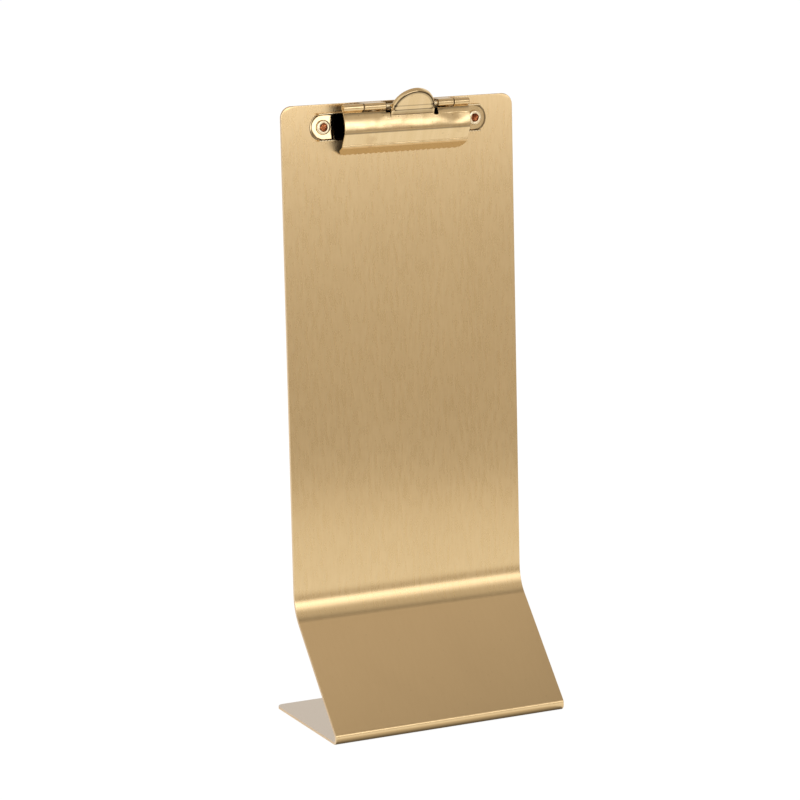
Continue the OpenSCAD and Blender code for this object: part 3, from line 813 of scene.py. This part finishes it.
def makeJaw(size):
    # All columns share a bent path from the lip up to the tab's root. The sides go on round
    # the shell and roll about the pin, and the tab turns forward into a round end whose
    # outer strip is folded back
    t, lip, face, crease = (size[k] for k in ("thickness", "lip", "face", "crease"))
    beadMid, creaseMid, shellMid = (size[k + "Radius"] - t / 2 for k in ("bead", "crease", "shell"))
    beadCentre = pointAt(size["beadPoint"], -size["beadRadius"] / wayOf((lip - face) / 2)[0],
                         -(lip + face) / 2)
    creaseCentre = pointAt(size["shellCentre"], size["shellRadius"] - size["creaseRadius"], -crease)
    slope, steep = wayOf(lip)
    tip = np.array(size["tip"]) + [0, t / 2 / steep]
    lipLength = np.linalg.norm(pointAt(beadCentre, beadMid, -lip) - tip)
    faceLength = np.linalg.norm(pointAt(creaseCentre, creaseMid, -face)
                                - pointAt(beadCentre, beadMid, -face))
    shared = [(lipLength, 0), arcPart(beadMid, lip - face), (faceLength, 0),
              arcPart(creaseMid, face - crease), arcPart(shellMid, crease + size["root"])]
    side = bentPath(tip, 90 - lip, shared + [
        arcPart(shellMid, size["touch"] - size["root"]),
        arcPart(size["knuckleRadius"], size["rollTurn"])])
    creaseAt, creaseTurn = size["tabCrease"]
    tab = bentPath(tip, 90 - lip, shared + [
        arcPart(creaseAt, -creaseTurn),
        arcPart(size["tabBend"], creaseTurn - size["root"] - size["tabLean"])])
    stops, tabStops = side["stations"], tab["stations"]
    rootAt, sideEnd, tabMiddle = stops[5], stops[-1], tabStops[-1]
    notchAt = rootAt + arcPart(shellMid, size["notch"] - size["root"])[0]
    radius, at, wide, strip = (size[k] for k in ("tabRadius", "tabAt", "half", "rimStrip"))
    tabEnd, beside = tabMiddle + radius, lipLines(size["edge"])
    beadLine, chamfer = stops[2] + size["beadUp"], size["chamfer"]
    (left, right), (bayLeft, bayRight) = size["knuckles"], size["bay"]

    # lines of the grid: beside every cut edge, round each bend and across each tooth
    rim = radius - strip * np.linspace(1, 0, size["rimLines"])
    inner = np.linspace(0, 1, size["innerLines"])[:-1] * (radius - strip)
    teeth = math.floor(2 * (wide - chamfer) / size["toothPitch"])
    valleys = (np.arange(teeth + 1) - teeth / 2) * size["toothPitch"]
    width = math.sqrt(size["toothRadius"] ** 2 - (size["toothRadius"] - size["toothDepth"]) ** 2)
    wave = width * np.array([k * share for k in (-1, 1) for share in (0, *size["toothLines"])])
    slot = np.linspace(0, *size["slotLines"])
    across = gridLines(
        [-wide + beside, wide - beside, left - beside, right + beside, bayLeft - beside,
         bayRight + beside, at - radius + beside, at + radius - beside, at - rim, at + rim,
         [chamfer - wide, wide - chamfer]],
        [(valleys[:, None] + wave).ravel(), np.arange(-wide, wide, size["step"][0]),
         bayLeft + slot, bayRight - slot], size["gap"][0])
    along = gridLines(
        [beside, rootAt - beside, notchAt - beside, sideEnd - beside, stops[1:7], tabStops[6:],
         tabMiddle + np.concatenate([inner, rim, radius - beside]),
         [rootAt + size["slotStep"]], *divided(tab, size["tabLines"])],
        [*divided(side, size["bendLines"]), np.arange(0, lipLength, size["lipStep"]),
         np.arange(0, tabEnd, size["step"][1]),
         beadLine + size["beadSpread"] * np.linspace(*size["beadLines"])], size["gap"][1])
    x, s = np.meshgrid(across, along, indexing="ij")

    # the lip's edge: round valleys between the teeth, and a chamfer at both ends
    off = np.abs(x[..., None] - valleys).min(-1)
    bite = np.sqrt(np.maximum(size["toothRadius"] ** 2 - off ** 2, 0))
    bite = np.maximum(bite - size["toothRadius"] + size["toothDepth"], 0) / slope
    bite = np.maximum(bite, (np.abs(x) - wide + chamfer) / slope)
    s = s + bite * held(1 - s / lipLength)

    # round bottoms of the slots beside the tab
    for near, far in ((at - radius, bayLeft), (at + radius, bayRight)):
        share = (x - (near + far) / 2) / (abs(far - near) / 2)
        dip = size["slotDip"] * np.sqrt(np.maximum(1 - share ** 2, 0))
        s = s - dip * held((s - rootAt) / size["slotFade"] + 1) * (s <= rootAt + 1e-4)

    # the bead stands out by a bell curve along the section, and so do the shell's crown and,
    # in the bay, the metal pulled up to the tab. The shell has a shallow dent as well
    flat = np.stack([x, s], -1)
    middleOf, normalOf = walk(side, s)
    beyond = np.maximum(np.maximum(bayLeft - x, x - bayRight), 0)
    pushed = bell(s, size["beadRise"], beadLine, size["beadSpread"]) + bell(s, *size["crown"]) \
        + bell(s, *size["pull"]) * held(1 - beyond / size["pullFade"]) \
        - bell(x, *size["dentAcross"]) * bell(s, *size["dentAlong"]) * (s < rootAt)
    steepness = np.gradient(pushed, axis=1) / np.gradient(s, axis=1)
    ahead = np.stack([normalOf[..., 1], -normalOf[..., 0]], -1)
    middleOf = middleOf - pushed[..., None] * normalOf
    normalOf = normalOf + steepness[..., None] * ahead
    normalOf = normalOf / np.linalg.norm(normalOf, axis=-1)[..., None]
    onTab = (np.abs(across - at) < radius + 1e-4)[:, None] & (s > rootAt + 1e-4)
    point, normal = walk(tab, s)
    middleOf[onTab], normalOf[onTab] = point[onTab], normal[onTab]
    middle = onHinge(x, middleOf[..., 0], middleOf[..., 1])
    normal = panelWay(0 * x, normalOf[..., 0], normalOf[..., 1])

    # the tab's round end: square rings of the grid laid on circles, then a radial path that
    # runs straight and folds back by an angle that grows from the tab's two sides
    onEnd = onTab & (s > tabMiddle - 1e-6)
    hand, u, v = np.sign(x - at), np.abs(x - at) / radius, (s - tabMiddle) / radius
    level = held(np.maximum(u, v))
    angle = math.pi / 4 * np.where(u >= v, v / np.maximum(u, 1e-9), 2 - u / np.maximum(v, 1e-9))
    grown = held(np.degrees(angle) / size["rimFrom"])
    fold = math.pi / 2 * grown * grown * (3 - 2 * grown)
    bend, share = size["rimBend"], 1 - strip / radius
    foldAt = radius - (t / 2 + bend) * np.sin(fold) - (strip - bend * fold) * np.cos(fold)
    way = held((level - share) / (1 - share)) * strip
    turn, past = np.minimum(way / bend, fold), np.maximum(way - bend * fold, 0)
    before = np.minimum(level / share, 1) * foldAt
    out = before + bend * np.sin(turn) + past * np.cos(fold)
    deep = bend * (1 - np.cos(turn)) + past * np.sin(fold)
    cosine, sine = wayOf(90 - size["tabLean"])
    upWay, backWay = panelWay(0.0, cosine, sine), panelWay(0.0, -sine, cosine)
    ray = (np.cos(angle) * hand)[..., None] * np.array([1.0, 0, 0]) \
        + np.sin(angle)[..., None] * upWay
    endMiddle = onHinge(at, *walk(tab, np.array(tabMiddle))[0]) \
        + out[..., None] * ray + deep[..., None] * backWay
    endNormal = np.cos(turn)[..., None] * backWay - np.sin(turn)[..., None] * ray
    unrolled = before + way
    endFlat = np.stack([at + unrolled * np.cos(angle) * hand,
                        tabMiddle + unrolled * np.sin(angle)], -1)
    for whole, end in ((middle, endMiddle), (normal, endNormal), (flat, endFlat)):
        whole[onEnd] = end[onEnd]

    # painted shade on the inside, in the crease, along the rim's fold and at the rolls' ends, and a
    # greyer tone on the lip
    inside = size["insideShade"] * held((stops[6] - s) / size["insideFade"]) * ~onTab
    ends = np.abs(x[..., None] - [left, right, bayLeft, bayRight]).min(-1)
    outside = bell(s - stops[4], *size["creaseShade"]) \
        + bell(way, *size["rimShade"]) * onEnd * (level > share - size["rimFade"]) * grown \
        + bell(ends, *size["rollShade"]) * (s > stops[6]) * ~onTab \
        - held((stops[1] - s) / size["lipGrey"] + 1)
    keep = keptCells(across, along, sideEnd, [
        (left, right, notchAt), (bayLeft, bayRight, rootAt),
        (bayLeft, at - radius - size["slotShort"], rootAt + size["slotStep"]),
        (at - radius, at + radius, tabEnd)])
    return pressedSheet("clipJaw", flat, middle, normal, keep, size, (inside, outside))


settle(makeJaw(jawSize), pressed, "jaw", "clip_jaw")


# Hinge pin, spring and rivets

pinSize = {"radius": 0.8, "half": 29.45, "round": 0.25, "plainEnd": 1.0, "rings": 40, "sides": 32}


def makePin(size):
    # A rod whose two ends are rounded by a quarter circle
    radius, half, bend = size["radius"], size["half"], size["round"]
    plain = half - size["plainEnd"]
    low = arcPoints((radius - bend, bend - half), bend, -90, 0, 7)
    high = arcPoints((radius - bend, half - bend), bend, 0, 90, 7)
    body = np.linspace([radius, -plain], [radius, plain], size["rings"])
    profile = np.concatenate([[[0, -half]], low, body, high, [[0, half]]])
    return turned("hingePin", profile, lambda a, b, h: onHinge(h, a, b), size["sides"])


settle(makePin(pinSize), polished, "stand", "hinge_pin")

springSize = {
    "radius": 0.4, "sides": 14, "end": (0.7, 0.3, 0.15), "coil": 1.55, "curls": 12, "perCurl": 32,
    "left": -6.3, "right": 11.1, "rearLeg": (6.4, 0.6, 9), "frontLeg": 4.6, "legWay": (0.06, 1, 16),
    "inward": 5.1, "lean": 31.0}


def makeSpring(size):
    # A helix about the pin from a leg that lies on the plate's edge to one that runs up
    # behind the tab and eases inwards
    end, coil = size["curls"] * 360 + 90 - size["lean"], size["coil"]
    far, near, steps = size["rearLeg"]
    count = round(end / 360 * size["perCurl"])
    turn = np.radians(-90 + end * np.linspace(0, 1, count + 1))
    curls = np.stack([np.linspace(size["left"], size["right"], count + 1),
                      coil * np.cos(turn), coil * np.sin(turn)], -1)
    rear = np.linspace([size["left"], -far, -coil], [size["left"], -near, -coil], steps)
    way = np.linspace(*size["legWay"])
    ease = way ** 3 * (way * (way * 6 - 15) + 10)
    upward, forward = size["frontLeg"] * wayOf(size["lean"])
    front = curls[-1] + np.stack([-ease * size["inward"], way * forward, way * upward], -1)
    line = np.concatenate([rear, curls, front])
    return drawnWire("torsionSpring", onHinge(*line.T), size)


spring = makeSpring(springSize)
spring.data.materials.append(steel)
axisPoint = onHinge(0.0, 0.0, 0.0) * mm
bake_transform(spring)
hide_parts("torsion_spring")
print("made torsionSpring")

rivetSize = {
    "ring": 3.2, "ringHeight": 0.9, "ringRound": 0.6, "hole": 1.65, "holeDepth": 0.74,
    "holeRound": 0.35, "holeFade": 0.3, "shank": 2.0, "plate": 0.7, "sheet": 1.2, "head": 3.4,
    "headHeight": 1.1, "at": 36.0, "floorRings": (0, 0.4, 0.9), "lobes": 6, "lobeDepth": 0.12,
    "lobeFrom": 0.3, "lobeGrowth": 1.2, "lobeLift": 0.6, "lobeTop": 0.5, "sides": 72}


def makeRivet(size, name, side):
    # Half section from the hollow's floor, over the rolled ring and down the shank to the
    # dome behind. The hollow is pressed into lobes, which fade towards the ring's outside
    hole, ring, sheet, headHeight = (size[k] for k in ("hole", "ring", "sheet", "headHeight"))
    top, inRound, ringRound = size["plate"] + size["ringHeight"], size["holeRound"], size["ringRound"]
    floor = top - size["holeDepth"]
    dome = (size["head"] ** 2 + headHeight ** 2) / (2 * headHeight)
    widest = math.degrees(math.asin(size["head"] / dome))
    profile = np.concatenate([
        [[radius, floor] for radius in size["floorRings"]],
        arcPoints((hole - inRound, floor + inRound), inRound, -90, 0, 9),
        arcPoints((hole + inRound, top - inRound), inRound, 180, 90, 9),
        arcPoints((ring - ringRound, top - ringRound), ringRound, 90, 0, 9),
        [[ring, size["plate"]], [size["shank"], size["plate"]], [size["shank"], -sheet]],
        arcPoints((0, dome - sheet - headHeight), dome, widest - 90, -90, 15)[:-1],
        [[0, -sheet - headHeight]]])

    def lobes(radius, height, angle):
        inside = (radius < hole + inRound + 1e-6) & (height > floor - 1e-6)
        wave = np.sin(size["lobes"] * angle + side) + 0.5 * np.sin(3 * angle + 2 * side)
        shift = size["lobeDepth"] * wave * held((radius - size["lobeFrom"]) / size["lobeGrowth"])
        return (radius + np.where(inside, shift, 0),
                height + np.where(inside & (height < top - size["lobeTop"]),
                                  size["lobeLift"] * shift, 0))

    def hollow(radius, height):
        return held((hole - radius) / size["holeFade"] + 1) * (height > 0)

    def place(a, b, h):
        return onPanel(side * size["at"] + a, h, b - panelPlace["rivetDrop"])

    return turned(name, profile, place, size["sides"], lobes, hollow)


settle(makeRivet(rivetSize, "rivetLeft", -1), rivetMetal, "stand", "rivet_left")
settle(makeRivet(rivetSize, "rivetRight", 1), rivetMetal, "stand", "rivet_right")


# Studio: white floor and world, soft lamps, and cards that only gloss shows. A card stands
# at (distance, left, right, height) or lies at (near, far, half width, height), all square to
# one direction from the holder. Its levels are (share of the way from its first edge to the
# opposite one, strength), and one with a fade dims towards its sides

dimTint = (1.0, 0.93, 0.84)
studio = {
    "worldLight": 0.75, "floorSize": 6.0, "floorDrop": 0.0001, "floorTone": 0.88,
    "floorRoughness": 0.9, "floorWhite": 0.9, "floorGlow": 1.05, "lampAim": (0, 0, 0.13),
    "lamps": (("keyLamp", (-1.3, -1.5, 1.8), 1.2, 26.0),
              ("fillLamp", (1.6, -1.2, 1.3), 1.4, 14.0)),
    "towards": 27.0, "cards": {
        # a dim wall with a tall soft box before it
        "wallCard": {
            "stands": (1.40, -1.8, 1.8, 1.95), "tint": dimTint,
            "levels": ((0.0, 0.6), (0.04, 0.64), (0.07, 0.61), (0.5, 0.66), (0.7, 0.66),
                       (0.8, 0.34), (0.93, 0.15), (1.0, 0.15))},
        "softBox": {
            "stands": (1.38, -1.3, 0.12, 1.0), "tint": (0.94, 0.98, 1.08),
            "fade": (0.0, 0.1, 0.88, 1.0),
            "levels": ((0.0, 0.0), (0.08, 0.04), (0.14, 0.13), (0.17, 0.38), (0.2, 0.8),
                       (0.3, 2.1), (0.43, 2.4), (0.5, 2.25), (0.6, 1.75), (0.7, 1.2),
                       (0.8, 0.65), (0.9, 0.28), (1.0, 0.0))},
        # the floor in front, dark beyond the table's edge, and a dim ceiling
        "nearFloor": {"lies": (0.25, 0.49, 1.8, 0.0005), "tint": (1.0, 0.98, 0.94),
                      "levels": ((0.0, 0.93), (1.0, 0.96))},
        "tableFloor": {"lies": (0.49, 1.40, 1.8, 0.0005), "tint": (1.0, 0.915, 0.815),
                       "levels": ((0.0, 0.98), (0.04, 0.88), (0.1, 0.62), (0.187, 0.46),
                                  (0.34, 0.48), (0.56, 0.6), (1.0, 0.6))},
        "ceilingCard": {"lies": (1.40, -1.6, 1.8, 1.95), "tint": (1.0, 0.89, 0.79),
                        "levels": ((0.0, 0.57), (0.06, 0.61), (1.0, 0.61))},
        "backCard": {"stands": (-1.6, -4.0, 4.0, 1.95), "tint": dimTint,
                     "levels": ((0.0, 0.78), (0.5, 0.7), (1.0, 0.62))},
        # a narrow strip is the shade under the front fold, square to the holder itself
        "footShade": {"lies": (0.0284, 0.0420, sheetSize["width"] * mm / 2, 0.0001),
                      "tint": dimTint, "towards": 0.0,
                      "levels": ((0.0, 0.08), (0.13, 0.2), (0.24, 0.4), (1.0, 1.0))}}}


def seenRays(tree):
    # 1 for the rays that show the background: straight, mirrored and seen through
    rays = addNode(tree, "ShaderNodeLightPath").outputs
    seen = sums(tree, "MAXIMUM", rays["Is Camera Ray"], rays["Is Glossy Ray"])
    return sums(tree, "MAXIMUM", seen, rays["Is Transmission Ray"])


def addBoard(name, corners):
    mesh = bpy.data.meshes.new(name)
    mesh.from_pydata([tuple(map(float, c)) for c in corners], [], [(0, 1, 2, 3)])
    return addObject(name, mesh)


def glossCard(name, corners, card):
    # A four-cornered card that only mirrored rays see. One with a fade adds its light to
    # what lies behind it
    board = addBoard(name, corners)
    layer = board.data.uv_layers.new(name="card")
    layer.data.foreach_set("uv", [0, 0, 1, 0, 1, 1, 0, 1])
    for ray in ("camera", "diffuse", "shadow", "transmission", "volume_scatter"):
        setattr(board, "visible_" + ray, False)
    material, tree, shader = newMaterial(name)
    tree.nodes.remove(shader)
    place = split(tree, addNode(tree, "ShaderNodeUVMap", uv_map="card").outputs[0])
    strength, fade = banded(tree, place[1], card["levels"]), card.get("fade")
    if fade:
        spread = times(tree, ramp(tree, place[0], *fade[:2]), ramp(tree, place[0], *fade[:1:-1]))
        strength = times(tree, strength, spread)
    surface = addNode(tree, "ShaderNodeEmission", {"Color": (*card["tint"], 1),
                                                   "Strength": strength}).outputs[0]
    if fade:
        clear = addNode(tree, "ShaderNodeBsdfTransparent").outputs[0]
        surface = addNode(tree, "ShaderNodeAddShader", {0: surface, 1: clear}).outputs[0]
    tree.links.new(surface, tree.nodes["Material Output"].inputs["Surface"])
    board.data.materials.append(material)


def makeCards(values):
    # A card's corner is its distance along the direction, its place aside and its height
    for name, card in values["cards"].items():
        cosine, sine = wayOf(card.get("towards", values["towards"]))
        ahead, aside = np.array([sine, -cosine, 0]), np.array([cosine, sine, 0])
        if "stands" in card:
            out, left, right, high = card["stands"]
            spots = ((out, left, 0), (out, right, 0), (out, right, high), (out, left, high))
        else:
            near, far, half, up = card["lies"]
            spots = ((near, -half, up), (near, half, up), (far, half, up), (far, -half, up))
        glossCard(name, [out * ahead + side * aside + [0, 0, high] for out, side, high in spots],
                  card)


def makeStudio(values):
    world = bpy.data.worlds.new("whiteRoom")
    bpy.context.scene.world = world
    world.use_nodes = True
    tree = world.node_tree
    background = tree.nodes["Background"]
    background.inputs["Color"].default_value = (1, 1, 1, 1)
    strength = ramp(tree, seenRays(tree), 0.0, 1.0, values["worldLight"], 1.0)
    tree.links.new(strength, background.inputs["Strength"])
    size = values["floorSize"]
    floor = addBoard("floor", [(-size, -size, 0), (size, -size, 0), (size, size, 0),
                               (-size, size, 0)])
    floor.location.z = -values["floorDrop"]
    material, tree, shader = newMaterial("paleFloor")
    shader.inputs["Base Color"].default_value = (*[values["floorTone"]] * 3, 1)
    shader.inputs["Roughness"].default_value = values["floorRoughness"]
    shader.inputs["Specular IOR Level"].default_value = 0.0
    glow = addNode(tree, "ShaderNodeEmission", {"Color": (1, 1, 1, 1),
                                                "Strength": values["floorGlow"]}).outputs[0]
    share = times(tree, seenRays(tree), values["floorWhite"])
    mixed = addNode(tree, "ShaderNodeMixShader", {0: share, 1: shader.outputs[0], 2: glow})
    tree.links.new(mixed.outputs[0], tree.nodes["Material Output"].inputs["Surface"])
    floor.data.materials.append(material)
    for name, spot, side, power in values["lamps"]:
        lamp = bpy.data.lights.new(name, "AREA")
        lamp.shape, lamp.size, lamp.energy = "SQUARE", side, power
        holder = addObject(name, lamp)
        lookAlong(holder, spot, Vector(values["lampAim"]) - Vector(spot))
        holder.visible_glossy = False


makeStudio(studio)
makeCards(studio)
print("studio lit")
